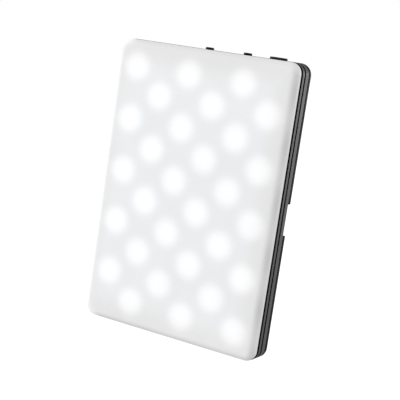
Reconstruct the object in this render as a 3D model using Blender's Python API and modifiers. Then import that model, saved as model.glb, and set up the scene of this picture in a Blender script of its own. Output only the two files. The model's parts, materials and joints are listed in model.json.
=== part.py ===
"""Pocket LED light panel, standing on its lower edge.

An opal diffuser closes the front of a slim body made of a front frame, a housing and a rear cover.
Thirty pairs of LEDs sit behind the diffuser in ten staggered rows.  The top edge carries a round power
button, a round mode button, a brightness rocker and a USB-C socket, all on the line where the front
frame meets the housing.  A shallow channel for a clip's slide crosses the rear cover.

Sizes are in millimetres and become metres when a mesh is made.  X runs to the right, Z upwards, and a
depth is measured backwards from the front plane.  The origin is at the middle of the bottom.
"""

import math

import bmesh
import bpy
from mathutils import Vector

MM = 0.001

# Outer size
WIDTH = 67.0
HEIGHT = 97.0
THICKNESS = 10.5
CORNER_RADIUS = 3.8

# Depth stations of the outer layers, front to back
DIFFUSER_BACK = 2.6
FRAME_NECK_FRONT = 2.9
FRAME_BAND = (3.5, 4.95)
FRAME_NECK_BACK = 5.3
HOUSING_NECK_FRONT = 5.45
HOUSING_BAND = (5.8, 8.05)
COVER_FRONT = 8.3

# Outer shell
GAP = 0.3
DIFFUSER_INSET = 0.1
DIFFUSER_WALL = 1.2
DIFFUSER_ROUNDING = 1.8
TONGUE_INSET = 2.2
TONGUE_WALL = 0.8
TONGUE_BACK = 3.6
NECK_INSET = 0.8
FRAME_OPENING_INSET = 1.9
HOUSING_WALL = 2.0
HOUSING_FLOOR_BACK = 6.0
LIP_INSET = 2.2
LIP_WALL = 0.7
LIP_FRONT = 4.6
BAND_ROUNDING = 0.2
COVER_WALL = 1.8
COVER_SKIN = 1.2
COVER_ROUNDING = 1.1

# Clip channel across the rear cover
CHANNEL = (41.5, 52.0)
CHANNEL_FLOOR = 8.05
CHANNEL_SKIN = 1.0
CHANNEL_WALL = 1.3

# LED grid: staggered rows of LED pairs
LED_ROWS = 10
LED_ROW_PITCH = 8.83
LED_COLUMN_PITCH = 20.3
LED_GRID_CENTRE = (-0.2, 48.4)
LEDS_PER_ROW = 3
LED_SIZE = (2.8, 3.5)
LED_PAIR_PITCH = 3.4
LED_WINDOW = (6.9, 4.2)

# Boards
LED_BOARD = (4.3, 5.1)
LED_BOARD_TOP = 90.6
CONTROL_BOARD = (6.3, 7.1)
CONTROL_BOARD_Z = (54.0, 93.4)

# Controls on the top edge
CONTROL_DEPTH = 5.4
CONTROL_RADIUS = 1.4
CONTROL_CLEARANCE = 0.15
CONTROL_TOP = HEIGHT + 0.75
CONTROL_ROUNDING = 0.2
POWER_X = -1.9
MODE_X = 12.3
ROCKER_X = 23.4
ROCKER_HALF_LENGTH = 3.0
ROCKER_END_CLEARANCE = 0.3
ROCKER_PIVOT_Z = 95.65
ROCKER_PIN_RADIUS = 0.35
ROCKER_SWITCH_OFFSET = 2.4
WING_Z = (93.9, 94.7)
WING_HALF_DEPTH = 1.1
INDICATOR_X = 5.2
INDICATOR_RADIUS = 0.6

# USB-C socket on the top edge
USB_X = -15.4
USB_DEPTH = 5.6
USB_SIZE = (8.94, 3.16)
USB_SHELL_WALL = 0.3
USB_Z = (89.9, 96.8)

# Side-push switches
SWITCH_WIDTH = 3.8
SWITCH_DEPTH = (4.6, 6.2)
SWITCH_Z = (90.9, 93.1)
PLUNGER_RADIUS = 0.45
PLUNGER_Z = (92.3, 93.7)

# Cover screws
SCREW_X = 28.5
SCREW_Z = (6.0, 86.0)
SCREW_HEAD_RADIUS = 1.55
SCREW_SHANK_RADIUS = 0.65
SCREW_HEAD_TOP = THICKNESS - 0.2
BOSS_RADIUS = 2.3
BOSS_BACK = 7.8

CORNER_SEGMENTS = 8
OVERSHOOT = 1.0

for old_object in list(bpy.data.objects):
    bpy.data.objects.remove(old_object, do_unlink=True)

PARTS = bpy.data.collections.new("light_panel")
TOOLS = bpy.data.collections.new("cutters")
bpy.context.scene.collection.children.link(PARTS)
bpy.context.scene.collection.children.link(TOOLS)


# ---------------------------------------------------------------- helpers

def place(x, depth, z):
    """World position in metres of a point given by x, depth and z in millimetres."""
    return Vector((x, depth - THICKNESS / 2, z)) * MM


def finish_mesh(name, bm, location, tool):
    """Turn a bmesh into a part, or into a cutter or an addition that isn't rendered."""
    bmesh.ops.recalc_face_normals(bm, faces=bm.faces)
    mesh = bpy.data.meshes.new(name)
    bm.to_mesh(mesh)
    bm.free()
    obj = bpy.data.objects.new(name, mesh)
    obj.location = location
    if tool:
        TOOLS.objects.link(obj)
        obj.hide_render = True
        obj.display_type = "WIRE"
    else:
        PARTS.objects.link(obj)
    return obj


def round_outline(bm, level, radius, segments):
    """Round the edges that lie in the plane y = level."""
    edges = [e for e in bm.edges if all(abs(v.co.y - level) < 1e-7 for v in e.verts)]
    bmesh.ops.bevel(bm, geom=edges, offset=radius * MM, offset_type="OFFSET", segments=segments,
                    profile=0.5, affect="EDGES")


def add_slab(bm, x, depth, z, corner=0.0, corner_segments=CORNER_SEGMENTS, centre=Vector()):
    """Add a box to a bmesh, its four corners rounded as seen from the front."""
    size = Vector((x[1] - x[0], depth[1] - depth[0], z[1] - z[0])) * MM
    middle = (place(x[0], depth[0], z[0]) + place(x[1], depth[1], z[1])) / 2
    verts = bmesh.ops.create_cube(bm, size=1.0)["verts"]
    bmesh.ops.scale(bm, vec=size, verts=verts)
    bmesh.ops.translate(bm, vec=middle - centre, verts=verts)
    if corner:
        edges = dict.fromkeys(e for v in verts for e in v.link_edges)
        along_y = [e for e in edges if abs(e.verts[0].co.y - e.verts[1].co.y) > size.y / 2]
        bmesh.ops.bevel(bm, geom=along_y, offset=corner * MM, offset_type="OFFSET",
                        segments=corner_segments, profile=0.5, affect="EDGES")


def slab(name, x, depth, z, corner=0.0, front_round=0.0, back_round=0.0, rounding_segments=2,
         corner_segments=CORNER_SEGMENTS, tool=False):
    """Box between two depths, with optional rounded corners and rounded front and back outlines."""
    middle = (place(x[0], depth[0], z[0]) + place(x[1], depth[1], z[1])) / 2
    bm = bmesh.new()
    add_slab(bm, x, depth, z, corner, corner_segments, middle)
    half = (depth[1] - depth[0]) * MM / 2
    if front_round:
        round_outline(bm, -half, front_round, rounding_segments)
    if back_round:
        round_outline(bm, half, back_round, rounding_segments)
    return finish_mesh(name, bm, middle, tool)


def outline_slab(name, inset, depth, front_round=0.0, back_round=0.0, rounding_segments=2, tool=False):
    """Slab that follows the body's outline at an inset."""
    x = (-WIDTH / 2 + inset, WIDTH / 2 - inset)
    z = (inset, HEIGHT - inset)
    return slab(name, x, depth, z, CORNER_RADIUS - inset, front_round, back_round, rounding_segments,
                tool=tool)


def cylinder(name, start, end, radius, end_radius=None, sides=20, tool=False):
    """Cylinder or cone between two points given as (x, depth, z)."""
    first = place(*start)
    last = place(*end)
    axis = last - first
    bm = bmesh.new()
    bmesh.ops.create_cone(bm, cap_ends=True, segments=sides, radius1=radius * MM,
                          radius2=(radius if end_radius is None else end_radius) * MM,
                          depth=axis.length)
    turn = Vector((0, 0, 1)).rotation_difference(axis).to_matrix()
    bmesh.ops.rotate(bm, cent=(0, 0, 0), matrix=turn, verts=bm.verts)
    return finish_mesh(name, bm, (first + last) / 2, tool)


def top_stadium(name, x, depth, half_length, half_depth, z, top_round=0.0, tool=False):
    """Prism along Z whose plan is a stadium, long in X."""
    bm = bmesh.new()
    bmesh.ops.create_cube(bm, size=1.0)
    size = Vector((2 * half_length, 2 * half_depth, z[1] - z[0])) * MM
    bmesh.ops.scale(bm, vec=size, verts=bm.verts)
    along_z = [e for e in bm.edges if abs(e.verts[0].co.z - e.verts[1].co.z) > size.z / 2]
    bmesh.ops.bevel(bm, geom=along_z, offset=0.98 * half_depth * MM, offset_type="OFFSET",
                    segments=6, profile=0.5, affect="EDGES")
    if top_round:
        rim = [e for e in bm.edges if all(v.co.z > size.z / 2 - 1e-7 for v in e.verts)]
        bmesh.ops.bevel(bm, geom=rim, offset=top_round * MM, offset_type="OFFSET", segments=2,
                        profile=0.5, affect="EDGES")
    return finish_mesh(name, bm, place(x, depth, (z[0] + z[1]) / 2), tool)


def boolean(target, other, operation):
    """Add an exact Boolean of another object to a target."""
    modifier = target.modifiers.new(other.name, "BOOLEAN")
    modifier.operation = operation
    modifier.solver = "EXACT"
    modifier.object = other


def cut(target, *cutters):
    """Take cutters away from a target."""
    for cutter in cutters:
        boolean(target, cutter, "DIFFERENCE")


def join(target, *additions):
    """Add overlapping shapes to a target."""
    for addition in additions:
        boolean(target, addition, "UNION")


def turned(name, profile, steps=20):
    """Solid of revolution about Z from (radius, z) points listed from top to bottom."""
    mesh = bpy.data.meshes.new(name)
    points = [(radius * MM, 0.0, z * MM) for radius, z in profile]
    mesh.from_pydata(points, [(i, i + 1) for i in range(len(points) - 1)], [])
    obj = bpy.data.objects.new(name, mesh)
    PARTS.objects.link(obj)
    screw = obj.modifiers.new("turn", "SCREW")
    screw.axis = "Z"
    screw.steps = steps
    screw.render_steps = steps
    screw.use_merge_vertices = True
    screw.merge_threshold = 0.00001
    return obj


def material(name, colour, roughness, metallic=0.0):
    """Principled material."""
    made = bpy.data.materials.new(name)
    made.use_nodes = True
    shader = made.node_tree.nodes["Principled BSDF"]
    shader.inputs["Base Color"].default_value = (*colour, 1.0)
    shader.inputs["Roughness"].default_value = roughness
    shader.inputs["Metallic"].default_value = metallic
    return made


def dress(obj, finish):
    """Give a part its own material, made from a finish, and smooth its round faces."""
    obj.data.materials.clear()
    obj.data.materials.append(material(obj.name, *finish))
    if obj.type == "MESH":
        obj.data.shade_smooth()
        obj.data.set_sharp_from_angle(angle=math.radians(30))
    return obj


# Finishes: colour, roughness, metallic
OPAL = ((0.88, 0.90, 0.92), 0.35)
WHITE_FILM = ((0.90, 0.90, 0.90), 0.5)
GRAPHITE = ((0.095, 0.098, 0.105), 0.42)
BLACK = ((0.018, 0.018, 0.02), 0.45)
BOARD_WHITE = ((0.85, 0.85, 0.83), 0.4)
BOARD_GREEN = ((0.03, 0.16, 0.08), 0.4)
GREY_PAD = ((0.35, 0.36, 0.38), 0.8)
FOIL = ((0.60, 0.61, 0.63), 0.35, 0.8)
STEEL = ((0.62, 0.62, 0.63), 0.3, 1.0)
CHIP = ((0.02, 0.02, 0.022), 0.5)
FERRITE = ((0.07, 0.07, 0.075), 0.6)
CLEAR = ((0.80, 0.82, 0.84), 0.1)
RED = ((0.60, 0.02, 0.02), 0.5)


# ---------------------------------------------------------------- openings in the top edge

def top_openings():
    """Cutters for the holes of the controls, the indicator and the USB socket."""
    reach = (HEIGHT - 4.0, HEIGHT + OVERSHOOT)
    hole_radius = CONTROL_RADIUS + CONTROL_CLEARANCE
    cutters = []
    for label, x in (("power", POWER_X), ("mode", MODE_X)):
        cutters.append(cylinder(label + "_hole", (x, CONTROL_DEPTH, reach[0]),
                                (x, CONTROL_DEPTH, reach[1]), hole_radius, tool=True))
    cutters.append(top_stadium("rocker_slot", ROCKER_X, CONTROL_DEPTH,
                               ROCKER_HALF_LENGTH + ROCKER_END_CLEARANCE, hole_radius, reach, tool=True))
    cutters.append(top_stadium("usb_opening", USB_X, USB_DEPTH, USB_SIZE[0] / 2 + CONTROL_CLEARANCE,
                               USB_SIZE[1] / 2 + CONTROL_CLEARANCE, reach, tool=True))
    cutters.append(cylinder("indicator_hole", (INDICATOR_X, CONTROL_DEPTH, reach[0]),
                            (INDICATOR_X, CONTROL_DEPTH, reach[1]), INDICATOR_RADIUS + 0.1, sides=12,
                            tool=True))
    cutters.append(cylinder("pivot_pin_hole", (ROCKER_X, 3.2, ROCKER_PIVOT_Z),
                            (ROCKER_X, 7.6, ROCKER_PIVOT_Z), ROCKER_PIN_RADIUS + 0.1, sides=12, tool=True))
    return cutters


# ---------------------------------------------------------------- outer shell

def diffuser_panel():
    """Opal front shell with a tongue that plugs into the front frame."""
    panel = outline_slab("diffuser_panel", DIFFUSER_INSET, (0.0, DIFFUSER_BACK),
                         front_round=DIFFUSER_ROUNDING, rounding_segments=4)
    tongue = outline_slab("diffuser_tongue", TONGUE_INSET, (1.9, TONGUE_BACK), tool=True)
    pocket = outline_slab("diffuser_pocket", TONGUE_INSET + TONGUE_WALL,
                          (DIFFUSER_WALL, TONGUE_BACK + OVERSHOOT), tool=True)
    join(panel, tongue)
    cut(panel, pocket)
    dress(panel, OPAL)


def front_frame(openings):
    """Ring that carries the diffuser: an outer band on a recessed neck."""
    frame = outline_slab("front_frame", 0.0, FRAME_BAND, BAND_ROUNDING, BAND_ROUNDING)
    neck = outline_slab("front_frame_neck", NECK_INSET, (FRAME_NECK_FRONT, FRAME_NECK_BACK), tool=True)
    opening = outline_slab("front_frame_opening", FRAME_OPENING_INSET,
                           (FRAME_NECK_FRONT - OVERSHOOT, FRAME_NECK_BACK + OVERSHOOT), tool=True)
    join(frame, neck)
    cut(frame, opening, *openings)
    dress(frame, GRAPHITE)


def housing(openings):
    """Tray with a thin floor, a lip inside the front frame, screw bosses and a window for the switches."""
    tray = outline_slab("housing", 0.0, HOUSING_BAND, BAND_ROUNDING, BAND_ROUNDING)
    neck = outline_slab("housing_neck", NECK_INSET, (HOUSING_NECK_FRONT, 6.5), tool=True)
    lip = outline_slab("housing_lip", LIP_INSET, (LIP_FRONT, 5.7), tool=True)
    lip_inside = outline_slab("housing_lip_inside", LIP_INSET + LIP_WALL,
                              (LIP_FRONT - OVERSHOOT, HOUSING_NECK_FRONT), tool=True)
    cavity = outline_slab("housing_cavity", HOUSING_WALL, (HOUSING_FLOOR_BACK, 9.0), tool=True)
    window = slab("switch_window", (-29.0, 29.0), (4.0, 6.2), (86.8, HEIGHT - HOUSING_WALL + 0.2),
                  tool=True)
    join(tray, neck, lip)
    cut(tray, lip_inside, cavity, window, *openings)
    for number, (x, z) in enumerate(screw_places()):
        boss = cylinder(f"housing_boss_{number}", (x, 5.7, z), (x, BOSS_BACK, z), BOSS_RADIUS, tool=True)
        pilot = cylinder(f"housing_pilot_{number}", (x, 6.1, z), (x, BOSS_BACK + OVERSHOOT, z),
                         SCREW_SHANK_RADIUS + 0.1, sides=12, tool=True)
        join(tray, boss)
        cut(tray, pilot)
    dress(tray, GRAPHITE)


def rear_cover():
    """Black rear shell with the clip channel pressed into it."""
    cover = outline_slab("rear_cover", 0.0, (COVER_FRONT, THICKNESS), 0.15, COVER_ROUNDING, 4)
    half_width = WIDTH / 2 - HOUSING_WALL - GAP
    bridge = slab("channel_bridge", (-half_width, half_width), (CHANNEL_FLOOR - CHANNEL_SKIN, 9.0),
                  (CHANNEL[0] - CHANNEL_WALL, CHANNEL[1] + CHANNEL_WALL), tool=True)
    join(cover, bridge)
    inner_x = (-WIDTH / 2 + COVER_WALL, WIDTH / 2 - COVER_WALL)
    pocket_depth = (COVER_FRONT - OVERSHOOT, THICKNESS - COVER_SKIN)
    pocket_corner = CORNER_RADIUS - COVER_WALL
    pocket_spans = ((COVER_WALL, CHANNEL[0] - CHANNEL_WALL - 0.2),
                    (CHANNEL[1] + CHANNEL_WALL + 0.2, HEIGHT - COVER_WALL))
    for number, z in enumerate(pocket_spans):
        cut(cover, slab(f"cover_pocket_{number}", inner_x, pocket_depth, z, pocket_corner, tool=True))
    cut(cover, slab("clip_channel", (-WIDTH, WIDTH), (CHANNEL_FLOOR, THICKNESS + OVERSHOOT), CHANNEL,
                    tool=True))
    for number, (x, z) in enumerate(screw_places()):
        boss = cylinder(f"cover_boss_{number}", (x, BOSS_BACK + GAP, z), (x, THICKNESS - 0.7, z),
                        BOSS_RADIUS, tool=True)
        hole = cylinder(f"cover_hole_{number}", (x, BOSS_BACK - OVERSHOOT, z),
                        (x, THICKNESS + OVERSHOOT, z), SCREW_SHANK_RADIUS + 0.2, sides=16, tool=True)
        sink = cylinder(f"cover_sink_{number}", (x, SCREW_HEAD_TOP - 1.2, z), (x, SCREW_HEAD_TOP + 0.4, z),
                        SCREW_SHANK_RADIUS - 0.05, SCREW_HEAD_RADIUS + 0.8, tool=True)
        join(cover, boss)
        cut(cover, hole, sink)
    dress(cover, BLACK)


def screw_places():
    """Positions of the four cover screws as (x, z)."""
    return [(x, z) for z in SCREW_Z for x in (-SCREW_X, SCREW_X)]


def cover_screws():
    """Four countersunk cross-recess screws that share one mesh."""
    profile = [(0.0, SCREW_HEAD_TOP), (SCREW_HEAD_RADIUS, SCREW_HEAD_TOP),
               (SCREW_HEAD_RADIUS, SCREW_HEAD_TOP - 0.1), (SCREW_SHANK_RADIUS, SCREW_HEAD_TOP - 0.9),
               (SCREW_SHANK_RADIUS, 6.5), (0.0, 6.3)]
    pattern = turned("screw_pattern", profile, steps=16)
    for number, size in enumerate(((1.8, 0.4, 1.0), (0.4, 1.8, 1.0))):
        bm = bmesh.new()
        bmesh.ops.create_cube(bm, size=1.0)
        bmesh.ops.scale(bm, vec=Vector(size) * MM, verts=bm.verts)
        cut(pattern, finish_mesh(f"screw_recess_{number}", bm, (0, 0, SCREW_HEAD_TOP * MM), tool=True))
    bpy.context.view_layer.update()
    evaluated = pattern.evaluated_get(bpy.context.evaluated_depsgraph_get())
    shared = bpy.data.meshes.new_from_object(evaluated)
    bpy.data.objects.remove(pattern)
    names = ("bottom_left", "bottom_right", "top_left", "top_right")
    for name, (x, z) in zip(names, screw_places()):
        screw = bpy.data.objects.new("cover_screw_" + name, shared)
        screw.location = place(x, 0.0, z)
        screw.rotation_euler = (-math.pi / 2, 0.0, 0.0)
        PARTS.objects.link(screw)
    dress(screw, STEEL)


# ---------------------------------------------------------------- light stack

def led_places():
    """Centres of the LED pairs as (x, z), rows from the top, every second row shifted half a pitch."""
    places = []
    for row in range(LED_ROWS):
        z = LED_GRID_CENTRE[1] + ((LED_ROWS - 1) / 2 - row) * LED_ROW_PITCH
        shift = -0.25 if row % 2 == 0 else 0.25
        for column in range(LEDS_PER_ROW):
            x = LED_GRID_CENTRE[0] + (column - (LEDS_PER_ROW - 1) / 2 + shift) * LED_COLUMN_PITCH
            places.append((x, z))
    return places


def light_stack():
    """Diffusion film, punched reflector, LED board and the adhesive sheet behind it."""
    sheet_x = (-WIDTH / 2 + 3.3, WIDTH / 2 - 3.3)
    film = slab("diffusion_film", sheet_x, (1.5, 1.75), (3.3, HEIGHT - 3.3), 1.2, corner_segments=3)
    dress(film, WHITE_FILM)

    socket_room = slab("usb_clearance", (USB_X - 5.2, USB_X + 5.2), (3.0, 8.0), (89.2, HEIGHT + OVERSHOOT),
                       tool=True)

    windows = bmesh.new()
    packages = bmesh.new()
    for x, z in led_places():
        half_x, half_z = LED_WINDOW[0] / 2, LED_WINDOW[1] / 2
        add_slab(windows, (x - half_x, x + half_x), (3.0, 4.2), (z - half_z, z + half_z), 0.3, 1)
        for side in (-0.5, 0.5):
            middle = x + side * LED_PAIR_PITCH
            add_slab(packages, (middle - LED_SIZE[0] / 2, middle + LED_SIZE[0] / 2),
                     (3.65, LED_BOARD[0] + 0.2), (z - LED_SIZE[1] / 2, z + LED_SIZE[1] / 2))
    reflector = slab("reflector_sheet", sheet_x, (3.75, 4.0), (3.3, LED_BOARD_TOP), 1.2, corner_segments=3)
    cut(reflector, finish_mesh("reflector_windows", windows, (0, 0, 0), tool=True), socket_room)
    dress(reflector, WHITE_FILM)

    board_inset = LIP_INSET + LIP_WALL + GAP
    board = slab("led_board", (-WIDTH / 2 + board_inset, WIDTH / 2 - board_inset), LED_BOARD,
                 (board_inset, LED_BOARD_TOP), 1.2, corner_segments=3)
    join(board, finish_mesh("led_packages", packages, (0, 0, 0), tool=True))
    cut(board, socket_room)
    dress(board, BOARD_WHITE)

    adhesive = slab("thermal_adhesive_sheet", (-29.0, 29.0), (5.18, 5.37), (5.0, 85.0), 1.0,
                    corner_segments=3)
    dress(adhesive, GREY_PAD)
    return socket_room


# ---------------------------------------------------------------- controls

def round_button(name, x):
    """Round button with two wings below the wall that keep it in."""
    button = cylinder(name, (x, CONTROL_DEPTH, WING_Z[0] + 0.1), (x, CONTROL_DEPTH, CONTROL_TOP),
                      CONTROL_RADIUS, sides=24)
    bm = bmesh.new()
    bm.from_mesh(button.data)
    top = max(v.co.z for v in bm.verts)
    rim = [e for e in bm.edges if all(v.co.z > top - 1e-7 for v in e.verts)]
    bmesh.ops.bevel(bm, geom=rim, offset=CONTROL_ROUNDING * MM, offset_type="OFFSET", segments=2,
                    profile=0.5, affect="EDGES")
    bm.to_mesh(button.data)
    bm.free()
    wings = slab(name + "_wings", (x - 2.4, x + 2.4),
                 (CONTROL_DEPTH - WING_HALF_DEPTH, CONTROL_DEPTH + WING_HALF_DEPTH), WING_Z, tool=True)
    join(button, wings)
    dress(button, BLACK)


def side_switch(name, x, loose_plunger):
    """Side-push switch below a control, its plunger in a bore, or fixed on top under the rocker."""
    body = slab(name, (x - SWITCH_WIDTH / 2, x + SWITCH_WIDTH / 2), SWITCH_DEPTH, SWITCH_Z)
    if loose_plunger:
        bore = cylinder(name + "_bore", (x, CONTROL_DEPTH, SWITCH_Z[0] + 1.0),
                        (x, CONTROL_DEPTH, SWITCH_Z[1] + OVERSHOOT), PLUNGER_RADIUS + 0.1, sides=12,
                        tool=True)
        cut(body, bore)
        plunger = cylinder(loose_plunger, (x, CONTROL_DEPTH, PLUNGER_Z[0]),
                           (x, CONTROL_DEPTH, PLUNGER_Z[1]), PLUNGER_RADIUS, sides=12)
        dress(plunger, CHIP)
    else:
        dome = cylinder(name + "_dome", (x, CONTROL_DEPTH, SWITCH_Z[1] - 0.3),
                        (x, CONTROL_DEPTH, PLUNGER_Z[1] - 0.15), PLUNGER_RADIUS, sides=12, tool=True)
        join(body, dome)
    dress(body, STEEL)


def brightness_rocker():
    """Long rocker on a pivot pin that lies along the thickness, held in the frame and the housing."""
    rocker = top_stadium("brightness_rocker", ROCKER_X, CONTROL_DEPTH, ROCKER_HALF_LENGTH, CONTROL_RADIUS,
                         (WING_Z[0] + 0.1, CONTROL_TOP), top_round=CONTROL_ROUNDING)
    wings = slab("rocker_wings", (ROCKER_X - 3.9, ROCKER_X + 3.9),
                 (CONTROL_DEPTH - WING_HALF_DEPTH, CONTROL_DEPTH + WING_HALF_DEPTH),
                 (WING_Z[0], WING_Z[1] - 0.2), tool=True)
    join(rocker, wings)
    bore = cylinder("rocker_bore", (ROCKER_X, 2.0, ROCKER_PIVOT_Z), (ROCKER_X, 9.0, ROCKER_PIVOT_Z),
                    ROCKER_PIN_RADIUS + 0.1, sides=12, tool=True)
    cut(rocker, bore)
    # The rocker's origin is moved onto its pivot
    pivot = place(ROCKER_X, CONTROL_DEPTH, ROCKER_PIVOT_Z)
    offset = rocker.location - pivot
    for vertex in rocker.data.vertices:
        vertex.co += offset
    rocker.location = pivot
    dress(rocker, BLACK)
    pin = cylinder("rocker_pivot_pin", (ROCKER_X, 3.3, ROCKER_PIVOT_Z), (ROCKER_X, 7.5, ROCKER_PIVOT_Z),
                   ROCKER_PIN_RADIUS, sides=12)
    dress(pin, STEEL)


def controls():
    """Two buttons, the rocker and the switches under them."""
    round_button("power_button", POWER_X)
    round_button("mode_button", MODE_X)
    side_switch("power_switch", POWER_X, "power_switch_plunger")
    side_switch("mode_switch", MODE_X, "mode_switch_plunger")
    side_switch("dim_switch", ROCKER_X - ROCKER_SWITCH_OFFSET, None)
    side_switch("brighten_switch", ROCKER_X + ROCKER_SWITCH_OFFSET, None)
    brightness_rocker()


# ---------------------------------------------------------------- electronics

def control_board(socket_room):
    """Circuit board behind the floor's window, notched for the socket, the bosses and the leads."""
    half_width = WIDTH / 2 - HOUSING_WALL - 0.5
    board = slab("control_board", (-half_width, half_width), CONTROL_BOARD, CONTROL_BOARD_Z, 1.0,
                 corner_segments=2)
    cut(board, socket_room)
    for number, (x, z) in enumerate(screw_places()[2:]):
        cut(board, cylinder(f"board_notch_{number}", (x, 6.0, z), (x, 7.5, z), BOSS_RADIUS + GAP,
                            tool=True))
    cut(board, slab("lead_notch", (16.5, 23.5), (6.0, 7.5), (53.0, 58.0), tool=True))
    dress(board, BOARD_GREEN)


def usb_socket():
    """USB-C receptacle shell and its contact tongue."""
    half_length, half_depth = USB_SIZE[0] / 2, USB_SIZE[1] / 2
    shell = top_stadium("usb_c_receptacle", USB_X, USB_DEPTH, half_length, half_depth, USB_Z)
    mouth = top_stadium("usb_mouth", USB_X, USB_DEPTH, half_length - USB_SHELL_WALL,
                        half_depth - USB_SHELL_WALL, (USB_Z[0] + 0.8, USB_Z[1] + OVERSHOOT), tool=True)
    cut(shell, mouth)
    dress(shell, STEEL)
    tongue = slab("usb_c_tongue", (USB_X - 3.35, USB_X + 3.35), (USB_DEPTH - 0.35, USB_DEPTH + 0.35),
                  (USB_Z[0] + 0.9, USB_Z[1] - 0.5))
    dress(tongue, CHIP)


def board_components():
    """Larger parts on the control board, each a moulded block."""
    back = CONTROL_BOARD[1] + 0.1
    blocks = (
        ("power_inductor", (6.0, 10.4), (back, back + 1.4), (70.0, 74.4), FERRITE),
        ("microcontroller_chip", (-9.0, -4.0), (back, back + 0.9), (72.0, 77.0), CHIP),
        ("charger_chip", (-18.0, -14.0), (back, back + 0.8), (80.0, 84.0), CHIP),
        ("led_driver_chip", (14.0, 17.0), (back, back + 0.8), (77.0, 80.0), CHIP),
        ("battery_connector", (17.0, 23.0), (back, back + 1.4), (58.6, 62.0), BOARD_WHITE),
        ("board_link_header", (-4.0, 4.0), (LED_BOARD[1] + 0.1, CONTROL_BOARD[0] - 0.1), (87.4, 89.6), CHIP),
        ("charge_indicator_led", (4.6, 5.8), (5.2, 6.2), (92.4, 93.3), CLEAR),
    )
    for name, x, depth, z, finish in blocks:
        dress(slab(name, x, depth, z, 0.3, corner_segments=2), finish)
    window = cylinder("charge_indicator_window", (INDICATOR_X, CONTROL_DEPTH, 94.0),
                      (INDICATOR_X, CONTROL_DEPTH, HEIGHT - NECK_INSET), INDICATOR_RADIUS, sides=12)
    dress(window, CLEAR)


def smooth_route(points, steps):
    """Points along a Catmull-Rom curve through the given points."""
    ends = [points[0]] + points + [points[-1]]
    route = []
    for before, start, end, after in zip(ends, ends[1:], ends[2:], ends[3:]):
        for step in range(steps):
            t = step / steps
            route.append(0.5 * (2 * start + (end - before) * t
                                + (2 * before - 5 * start + 4 * end - after) * t ** 2
                                + (3 * start - before - 3 * end + after) * t ** 3))
    return route + [points[-1]]


def lead(name, points, finish):
    """Insulated wire along a smooth route."""
    route = smooth_route([place(*point) for point in points], 4)
    curve = bpy.data.curves.new(name, "CURVE")
    curve.dimensions = "3D"
    curve.bevel_depth = 0.3 * MM
    curve.bevel_resolution = 2
    curve.use_fill_caps = True
    spline = curve.splines.new("POLY")
    spline.points.add(len(route) - 1)
    for point, position in zip(spline.points, route):
        point.co = (*position, 1.0)
    wire = bpy.data.objects.new(name, curve)
    PARTS.objects.link(wire)
    dress(wire, finish)


def battery():
    """Pouch cell, its pad, its protection board and the leads to the control board."""
    cell = slab("battery_cell", (-25.5, 25.5), (6.3, 8.6), (4.8, 36.0), 1.0, 0.5, 0.5,
                corner_segments=3)
    dress(cell, FOIL)
    dress(slab("battery_adhesive_pad", (-22.0, 22.0), (6.07, 6.22), (8.0, 33.0)), GREY_PAD)
    protection = slab("battery_protection_board", (-12.0, 12.0), (6.3, 6.9), (36.4, 39.5))
    chip = slab("protection_chip", (-8.0, -5.0), (6.7, 7.7), (37.0, 39.0), tool=True)
    join(protection, chip)
    dress(protection, BOARD_GREEN)
    for name, start_x, end_x, finish in (("battery_lead_negative", 3.0, 19.0, CHIP),
                                         ("battery_lead_positive", 5.0, 21.0, RED)):
        lead(name, [(start_x, 6.45, 39.8), (start_x + 1.0, 6.45, 41.5), (end_x - 1.0, 6.45, 50.0),
                    (end_x, 6.5, 53.4), (end_x, 7.5, 56.5), (end_x, 7.9, 58.3)], finish)


# ---------------------------------------------------------------- assembly

OPENINGS = top_openings()
diffuser_panel()
front_frame(OPENINGS)
housing(OPENINGS)
rear_cover()
cover_screws()
SOCKET_ROOM = light_stack()
controls()
control_board(SOCKET_ROOM)
usb_socket()
board_components()
battery()
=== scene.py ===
"""Looks of the pocket LED light panel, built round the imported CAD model.

The outer pieces are remodelled with rounded edges and fine detail.  The pieces inside keep their CAD
shape and get procedural materials.  Sizes here are in millimetres and become metres in `point`; a depth
is measured backwards from the diffuser's front plane, as in the CAD.
"""

import json
import math

import bmesh
import bpy
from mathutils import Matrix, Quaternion, Vector


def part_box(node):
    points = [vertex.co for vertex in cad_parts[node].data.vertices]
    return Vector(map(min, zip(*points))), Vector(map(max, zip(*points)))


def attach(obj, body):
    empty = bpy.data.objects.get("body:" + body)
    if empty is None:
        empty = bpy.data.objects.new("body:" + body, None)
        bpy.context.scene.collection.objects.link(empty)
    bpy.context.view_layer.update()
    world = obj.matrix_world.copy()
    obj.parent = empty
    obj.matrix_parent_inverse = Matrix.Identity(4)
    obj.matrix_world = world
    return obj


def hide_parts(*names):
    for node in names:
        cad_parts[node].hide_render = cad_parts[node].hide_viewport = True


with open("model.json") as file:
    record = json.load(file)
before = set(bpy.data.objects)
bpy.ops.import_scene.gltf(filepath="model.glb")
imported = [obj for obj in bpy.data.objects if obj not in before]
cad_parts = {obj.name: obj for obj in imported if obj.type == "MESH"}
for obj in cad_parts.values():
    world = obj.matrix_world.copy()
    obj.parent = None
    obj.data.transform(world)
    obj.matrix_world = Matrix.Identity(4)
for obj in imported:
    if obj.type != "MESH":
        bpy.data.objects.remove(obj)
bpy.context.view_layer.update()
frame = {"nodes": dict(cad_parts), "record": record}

MM = 0.001
NODES = frame["nodes"]


def box_mm(node):
    """Lowest and highest corner of a CAD node in millimetres."""
    low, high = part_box(node)
    return low / MM, high / MM


def middle_and_half(node):
    """Middle and half length of a CAD node along X, in millimetres."""
    low, high = box_mm(node)
    return (low.x + high.x) / 2, (high.x - low.x) / 2


# ---------------------------------------------------------------- sizes

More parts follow.
